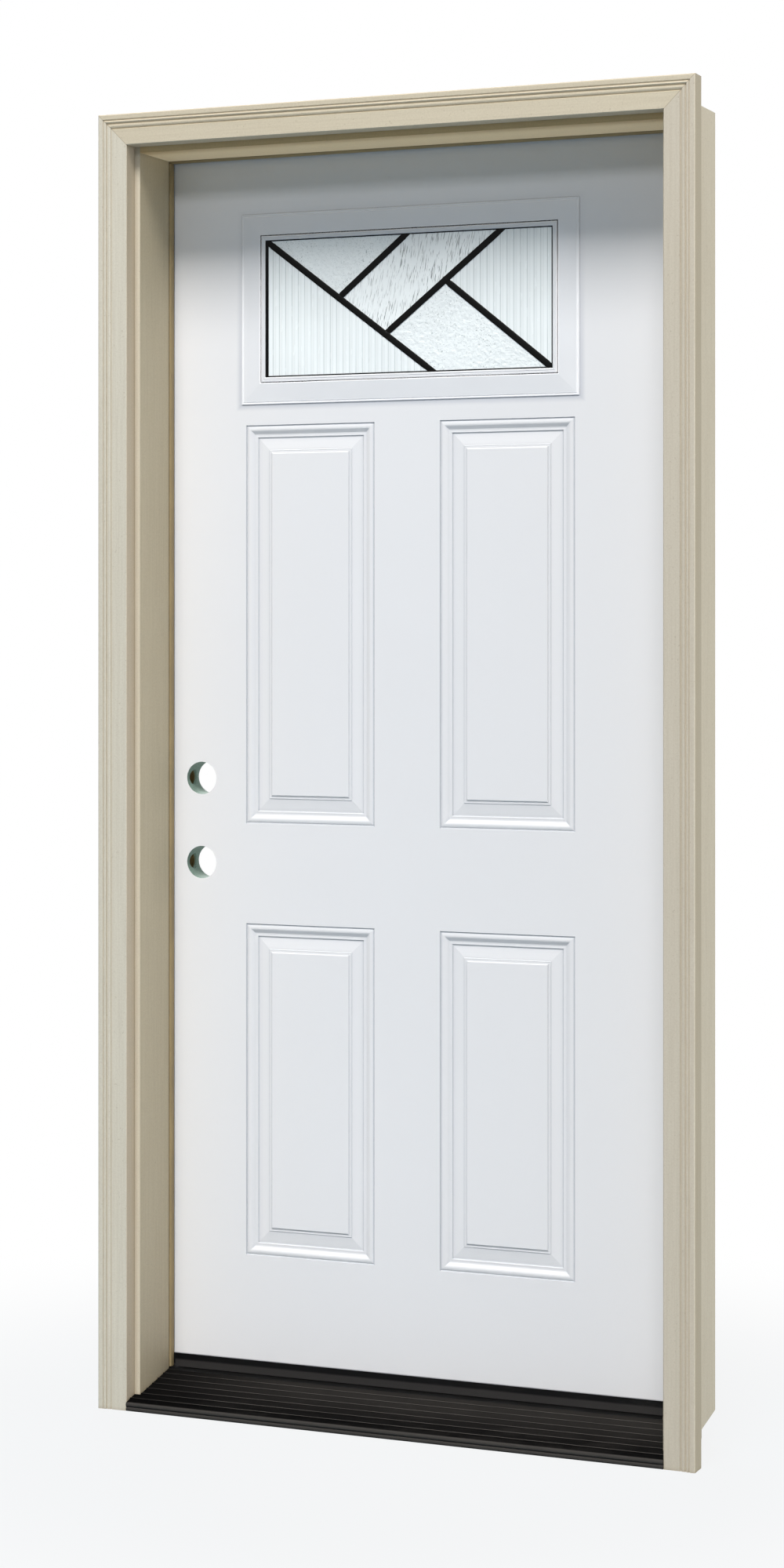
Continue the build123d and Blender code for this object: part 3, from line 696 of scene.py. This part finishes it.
def rain(x, z, sizes):
    """Running drops: a random lattice drawn out downwards, its x shifted by a slower lattice."""
    drift = 0.006 * lattice_noise(x, z, 0.02, 0.03, 11)
    return 0.7 * lattice_noise(x + drift, z, 0.0046, 0.022, 13) + 0.3 * lattice_noise(x, z, 0.0022, 0.007, 17)


def glass_piece(corners, pattern, step_x, step_z, sizes):
    """Body of one pane: the front is drawn out by the pattern's height times the relief; the back is
    flat."""
    x, z = pane_columns(corners, step_x, step_z)
    height = pattern(x, z, sizes) * sizes.relief
    front = np.stack([x, GLASS_FRONT + sizes.relief * 0.3 - height * 0.9, z], -1)
    back = np.stack([x, np.full_like(x, GLASS_BACK), z], -1)
    return shell(front, back)


def lead_strip(a, b, width, height, y):
    """A rounded strip from a to b: a half ellipse carried along the line, its ends drawn to a point."""
    along = (b - a) / np.linalg.norm(b - a)
    across = np.array([-along[1], along[0]])
    steps = 24
    turn = np.linspace(0, math.pi, 13)
    side = np.cos(turn) * width / 2
    rise = np.append(np.sin(turn) * height, 0)
    side = np.append(side, 0)
    size = np.ones(steps)
    size[[0, -1]] = 0
    centre = a + (b - a) * np.linspace(0, 1, steps)[:, None]
    flat = centre[:, None, :] + (side * size[:, None])[..., None] * across
    points = np.stack([flat[..., 0], y - rise * size[:, None], flat[..., 1]], -1)
    return points.reshape(-1, 3), grid_faces(steps, len(side), closed=True)


def solder_blob(centre, radius, height, y, seed):
    """A soldered joint: a low dome whose height falls as 1 minus r to the fourth, its outline wavering
    with the angle."""
    turns, rings = 28, 9
    angle = np.linspace(0, 2 * math.pi, turns, endpoint=False)
    waver = 1 + 0.07 * np.sin(3 * angle + seed) + 0.05 * np.sin(5 * angle + 2 * seed)
    r = np.append(np.linspace(0, 1, rings), 0)
    rise = np.append(1 - np.linspace(0, 1, rings) ** 4, 0)
    reach = r[:, None] * waver * radius
    x = centre[0] + reach * np.cos(angle)
    z = centre[1] + reach * np.sin(angle)
    y = y - rise[:, None] * height * np.ones(turns)
    return np.stack([x, y, z], -1).reshape(-1, 3), grid_faces(rings + 1, turns, closed=True)


def round_head(centre, facing, radius, height, sink, slot_width):
    """A screw head or cap as a disc of revolution: height rises to the middle, and a cross is sunk in
    where either arm is nearer than half a slot."""
    turns, rings = 32, 10
    angle = np.linspace(0, 2 * math.pi, turns, endpoint=False)
    r = np.linspace(0, 1, rings)[:, None]
    u, v = r * radius * np.cos(angle), r * radius * np.sin(angle)
    rise = height * (1 - 0.75 * r ** 3) * np.ones(turns)
    cross = (np.minimum(np.abs(u), np.abs(v)) < slot_width / 2) & (r < 0.62)
    rise = np.where(cross, rise - sink, rise)
    front = np.stack([rise, u, v], -1)
    back = np.stack([np.full_like(u, -0.4 * height), u, v], -1)[::-1]
    body = np.concatenate([front, back])
    if facing == "Y":
        body = body[..., [1, 0, 2]]
    elif facing == "-X":
        body = body * (-1, 1, 1)
    return (body + centre).reshape(-1, 3), grid_faces(2 * rings, turns, closed=True)


# Operators, one for each group of pieces


class DOOR_OT_casing(bpy.types.Operator):
    """Primer on the jambs and on the mitred brick moulding, with painted light and shade, and the foam seals
    """
    bl_idname = "entry_door.casing"
    bl_label = "Casing and seals"

    def execute(self, context):
        colours = context.scene.entry_door_colours
        upright, level = (1, 1, 0.02), (0.02, 1, 1)
        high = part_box("brickmould_head")[1]
        corner = (high.x, high.z)
        # Painted shade: the mouldings' outer side faces (side) and inner return faces (reveal) take darker
        # copies of the primer.
        side = ("X", high.x, 1, tinted(colours.casing, 0.70, 0.65, 0.56))
        reveal = ("X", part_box("brickmould_hinge_side")[0].x, -1, tinted(colours.casing, 0.95, 0.87, 0.79))
        # Painted light and shade: the same primer on each moulding as a lighter or darker copy (shares), with
        # painted light in its grooves (lift).
        for node, shares, along, faces, lift in (
                ("lock_side", (1.00, 1.00, 1.00), upright, (side, reveal), 0.04),
                ("hinge_side", (0.89, 0.86, 0.84), upright, (side, reveal), 0.06),
                ("head", (0.93, 0.88, 0.80), level, (side,), 0.15)):
            paint = tinted(colours.casing, *shares)
            dress(primed_paint("moulding_" + node, paint, along, faces, corner, lift), "brickmould_" + node)
        low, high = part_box("jamb_hinge_side")
        # Painted light and shade: the jambs' outer face (plain) and front face (front) take lighter, less
        # yellow copies of the primer.
        plain = tinted(colours.casing, 0.99, 0.94, 0.86)
        front = ("Y", low.y, -1, tinted(colours.casing, 0.93, 0.90, 0.86))
        dress(primed_paint("jamb_upright", colours.jamb, upright, (("X", high.x, 1, plain), front)),
              "jamb_lock_side", "jamb_hinge_side")
        # Painted shade: the head jamb's primer is a warmer, shaded copy, with painted light on its underside
        # near the slab; its top and back faces take plain instead.
        paint = tinted(colours.jamb, 1.20, 1.00, 0.73)
        under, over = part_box("jamb_head")
        faces = (("Z", over.z, 1, plain), ("Y", high.y, 1, plain))
        dress(primed_paint("jamb_level", paint, level, faces, underside=under.z), "jamb_head")
        dress(foam_seal("foam_seal_upright", colours.seal, (1, 1, 0.3)),
              "weatherstrip_lock_side", "weatherstrip_hinge_side")
        dress(foam_seal("foam_seal_level", colours.seal, (0.3, 1, 1)), "weatherstrip_head")
        return {"FINISHED"}


class DOOR_OT_sill(bpy.types.Operator):
    """Bronze deck, threshold cap and the substrate under them"""
    bl_idname = "entry_door.sill"
    bl_label = "Sill"

    def execute(self, context):
        colours = context.scene.entry_door_colours
        dress(bronze_sill("bronze_sill", colours.sill, colours.rib_wear_and_highlight), "sill_deck")
        dress(threshold_plastic("threshold_plastic", colours.sill), "threshold_cap")
        dress(pressed_board("sill_board", display(168, 146, 112), 260.0), "sill_core")
        return {"FINISHED"}


class DOOR_OT_slab(bpy.types.Operator):
    """Steel skins, timber edges, foam, lock block and door bottom"""
    bl_idname = "entry_door.slab"
    bl_label = "Slab"

    def execute(self, context):
        colours = context.scene.entry_door_colours
        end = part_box("door_sweep")[1]
        dress(steel_prime("steel_prime", colours.skin, end.x, end.z), "door_skin_exterior",
              "door_skin_interior")
        dress(sealed_timber("timber_upright", colours.timber, (1, 1, 0.04)), "lock_stile", "hinge_stile")
        dress(sealed_timber("timber_level", colours.timber, (0.04, 1, 1)), "top_rail", "bottom_rail")
        # Painted light: the lock block gives out its own tone, which lightens the walls of the bores.
        dress(pressed_board("lock_board", colours.lock_block, 320.0, 0.45), "lock_block")
        dress(rigid_foam("rigid_foam", display(226, 210, 158)), "door_core")
        dress(soft_vinyl("soft_vinyl", colours.rubber), "door_sweep")
        return {"FINISHED"}


class DOOR_OT_lite(bpy.types.Operator):
    """Moulded lite frames, clear panes and edge spacer, with the screw caps of the inner frame"""
    bl_idname = "entry_door.lite"
    bl_label = "Lite frames and panes"

    def execute(self, context):
        colours = context.scene.entry_door_colours
        sizes = context.scene.entry_door_sizes
        plastic = moulded_plastic("moulded_plastic", colours.lite_frame)
        dress(plastic, "lite_frame_exterior", "lite_frame_interior")
        dress(clear_pane("clear_pane", colours.glass), "glass_pane_exterior", "glass_pane_interior")
        dress(edge_spacer("edge_spacer"), "glass_spacer")
        inset = sizes.face_width * 0.45
        low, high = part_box("lite_frame_interior")
        places = [(low.x + inset + (high.x - low.x - 2 * inset) * t, z) for t in (0.08, 0.36, 0.64, 0.92)
                  for z in (low.z + inset, high.z - inset)]
        places += [(x, (low.z + high.z) / 2) for x in (low.x + inset, high.x - inset)]
        y = BACK_SKIN[1].y + CAP_FACE
        caps = [round_head((x, y, z), "Y", sizes.plug_radius, 0.0007, 0.0, 0.0) for x, z in places]
        make_piece("lite_screw_caps", joined(caps), plastic, "door")
        return {"FINISHED"}


class DOOR_OT_glass(bpy.types.Operator):
    """Five panes of reeded, granite and rain glass with their relief"""
    bl_idname = "entry_door.glass"
    bl_label = "Textured glass"

    def execute(self, context):
        tint = context.scene.entry_door_colours.glass
        sizes = context.scene.entry_door_sizes
        (long_line, first, second, third), _ = leading(sizes)
        x0, z0 = CAME_LOW.x + PANE_EDGE, CAME_LOW.z + PANE_EDGE
        x1, z1 = CAME_HIGH.x - PANE_EDGE, CAME_HIGH.z - PANE_EDGE
        sheet = np.array([(x0, z0), (x1, z0), (x1, z1), (x0, z1)])
        fluted = reeded_glass(tint, sizes.flute_pitch)
        pebbled = granite_glass(tint)
        streaked = rain_glass(tint)
        kinds = {"reeded": (reeded, 0.0011, 0.02, fluted), "granite": (granite, 0.0012, 0.0012, pebbled),
                 "rain": (rain, 0.0011, 0.0028, streaked)}
        panes = {  # each cut keeps the side of its line that the sign gives
            "glass_reeded_lock_side": [(long_line, -1)],
            "glass_granite_upper": [(long_line, 1), (first, 1)],
            "glass_rain_middle": [(long_line, 1), (first, -1), (second, 1)],
            "glass_granite_lower": [(long_line, 1), (second, -1), (third, -1)],
            "glass_reeded_hinge_side": [(second, -1), (third, 1)],
        }
        for node, cuts in panes.items():
            pattern, step_x, step_z, material = kinds[node.split("_")[1]]
            corners = sheet
            for (a, b), keep in cuts:
                corners = clip(corners, a, b, keep, HALF_HEART)
            shape = glass_piece(corners, pattern, step_x, step_z, sizes)
            piece = make_piece("relief_" + node, shape, material, "door", sharp=80.0)
            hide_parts(node)
        return {"FINISHED"}


class DOOR_OT_leading(bpy.types.Operator):
    """Rounded lead strips and soldered joints on the front of the leaded glass"""
    bl_idname = "entry_door.leading"
    bl_label = "Leading"

    def execute(self, context):
        patina = lead_patina("lead_patina", context.scene.entry_door_colours.leading)
        sizes = context.scene.entry_door_sizes
        dress(patina, "came_lattice")
        lines, joints = leading(sizes)
        y = CAME_LOW.y + 0.0001
        strips = [lead_strip(a, b, sizes.came_width, sizes.came_height, y) for a, b in lines]
        blobs = [solder_blob(joint, sizes.solder_radius, sizes.came_height * 1.35, y, n)
                 for n, joint in enumerate(joints)]
        make_piece("lead_strips", joined(strips), patina, "door")
        make_piece("solder_joints", joined(blobs), patina, "door")
        return {"FINISHED"}


class DOOR_OT_hinges(bpy.types.Operator):
    """Plated leaves and pins, with four countersunk screws in each leaf"""
    bl_idname = "entry_door.hinges"
    bl_label = "Hinges"

    def execute(self, context):
        steel = plated_steel("plated_steel", context.scene.entry_door_colours.hinge)
        radius = context.scene.entry_door_sizes.screw_radius
        jamb_screws, door_screws = [], []
        for place in ("bottom", "middle", "top"):
            dress(steel, "hinge_jamb_leaf_" + place, "hinge_door_leaf_" + place, "hinge_pin_" + place)
            for node, screws, facing in (("hinge_jamb_leaf_", jamb_screws, "-X"),
                                         ("hinge_door_leaf_", door_screws, "X")):
                low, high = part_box(node + place)
                middle = (low.z + high.z) / 2
                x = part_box("jamb_hinge_side")[0].x + RABBET if facing == "-X" else SKIN_HIGH.x
                for dy, dz in SCREWS:
                    centre = (x, low.y + dy, middle + dz)
                    screws.append(round_head(centre, facing, radius, 0.0003, 0.0009, 0.0012))
        make_piece("jamb_hinge_screws", joined(jamb_screws), steel, "frame")
        make_piece("door_hinge_screws", joined(door_screws), steel, "door")
        return {"FINISHED"}


def area_lamp(name, place, aim, size, power, spread=180, colour=(1, 1, 1)):
    """A rectangular lamp of the given width and height pointed at a place, its beam spread in degrees."""
    lamp = bpy.data.lights.new(name, "AREA")
    lamp.shape = "RECTANGLE"
    lamp.size, lamp.size_y = size
    lamp.energy = power
    lamp.color = colour
    lamp.spread = math.radians(spread)
    holder = bpy.data.objects.new(name, lamp)
    holder.location = place
    holder.rotation_euler = (Vector(aim) - Vector(place)).to_track_quat("-Z", "Y").to_euler()
    bpy.context.scene.collection.objects.link(holder)


def seen_directly(f):
    """1 for camera, glossy and transmission rays, which see the white surroundings."""
    rays = [f.node("ShaderNodeLightPath", out=name)
            for name in ("Is Camera Ray", "Is Glossy Ray", "Is Transmission Ray")]
    return rays[0].math("MAXIMUM", rays[0].math("MAXIMUM", rays[0], rays[1]), rays[2])


def pale_floor():
    """Floor that shows white to the camera and keeps the door's own shadow near it."""
    mesh = bpy.data.meshes.new("floor")
    mesh.from_pydata([(-40, -40, 0), (40, -40, 0), (40, 40, 0), (-40, 40, 0)], [], [(0, 1, 2, 3)])
    f = Finish("pale_floor")
    x, y = f.axis("X"), f.axis("Y")
    away = (x * x + y * y) ** 0.5
    pale = f.node("ShaderNodeBsdfDiffuse", {}, {"Color": (0.14, 0.20, 0.25, 1)})
    white = f.node("ShaderNodeEmission", {}, {"Color": (1, 1, 1, 1), "Strength": 1.0})
    share = f.between(away, 0.5, 1.6, 0.88, 1.0) * seen_directly(f)
    f.end(f.node("ShaderNodeMixShader", {}, {0: share, 1: pale, 2: white}))
    mesh.materials.append(f.material)
    floor = bpy.data.objects.new("floor", mesh)
    bpy.context.scene.collection.objects.link(floor)


def soft_room():
    """World that lights faintly and shows white."""
    world = bpy.data.worlds.new("soft_room")
    bpy.context.scene.world = world
    room = Nodes(world)
    lit = room.node("ShaderNodeBackground", {}, {"Color": (0.62, 0.83, 1.0, 1), "Strength": 0.068})
    seen = room.node("ShaderNodeBackground", {}, {"Color": (1, 1, 1, 1), "Strength": 1.0})
    both = room.node("ShaderNodeMixShader", {}, {0: seen_directly(room), 1: lit, 2: seen})
    room.end(both, "ShaderNodeOutputWorld")


def viewpoint():
    """Upright camera fitted to the corners of the frame; its shift keeps the verticals parallel."""
    frame_height, focal_length, horizon = 2000.0, 3987.5, 797.1  # in pixels of the whole frame
    camera = bpy.data.cameras.new("viewpoint")
    camera.sensor_width = 36.0
    camera.sensor_fit = "AUTO"
    camera.lens = focal_length * 36.0 / frame_height
    camera.shift_y = (horizon - frame_height / 2) / frame_height
    holder = bpy.data.objects.new("viewpoint", camera)
    holder.location = (1.9034, -4.5423, 1.2756)
    holder.rotation_euler = (math.radians(90), 0, math.radians(22.743))
    bpy.context.scene.collection.objects.link(holder)
    bpy.context.scene.camera = holder


class DOOR_OT_stage(bpy.types.Operator):
    """Pale floor, white surroundings, soft lamps and the camera"""
    bl_idname = "entry_door.stage"
    bl_label = "Stage"

    def execute(self, context):
        pale_floor()
        soft_room()
        middle = (0, 0.1, 1.1)
        area_lamp("overhead_front", (1.4, -9.6, 16.0), middle, (8.0, 5.2), 3760)
        area_lamp("low_front", (0.8, -10.9, 7.1), middle, (2.0, 1.4), 225, colour=(0.97, 1.0, 1.04))
        area_lamp("foot_front", (0.7, -7.0, 4.0), (0, 0.1, -0.25), (1.6, 1.2), 0.95, 20)
        area_lamp("side_fill", (8.0, 0.4, 2.2), (0, 0, 1.0), (3.0, 4.0), 320)
        area_lamp("rear_fill", (-4.6, 7.6, 6.6), middle, (5.0, 4.0), 800)
        viewpoint()
        context.scene.view_settings.view_transform = "Standard"
        return {"FINISHED"}


STEPS = (DOOR_OT_casing, DOOR_OT_sill, DOOR_OT_slab, DOOR_OT_lite, DOOR_OT_glass, DOOR_OT_leading,
         DOOR_OT_hinges, DOOR_OT_stage)


class DOOR_PT_sidebar(bpy.types.Panel):
    """Lists the door's operators with its sizes and colours"""
    bl_idname = "DOOR_PT_sidebar"
    bl_label = "Entry Door"
    bl_space_type = "VIEW_3D"
    bl_region_type = "UI"
    bl_category = "Entry Door"

    def draw(self, context):
        for step in STEPS:
            self.layout.operator(step.bl_idname)
        for group in (context.scene.entry_door_colours, context.scene.entry_door_sizes):
            column = self.layout.column()
            for key in group.__annotations__:
                column.prop(group, key)


CLASSES = (DoorColours, DoorSizes, *STEPS, DOOR_PT_sidebar)


def register():
    for each in CLASSES:
        bpy.utils.register_class(each)
    bpy.types.Scene.entry_door_colours = bpy.props.PointerProperty(type=DoorColours)
    bpy.types.Scene.entry_door_sizes = bpy.props.PointerProperty(type=DoorSizes)


def unregister():
    del bpy.types.Scene.entry_door_sizes
    del bpy.types.Scene.entry_door_colours
    for each in reversed(CLASSES):
        bpy.utils.unregister_class(each)


def main():
    register()
    for step in STEPS:
        group, name = step.bl_idname.split(".")
        getattr(getattr(bpy.ops, group), name)()


if __name__ == "__main__":
    main()
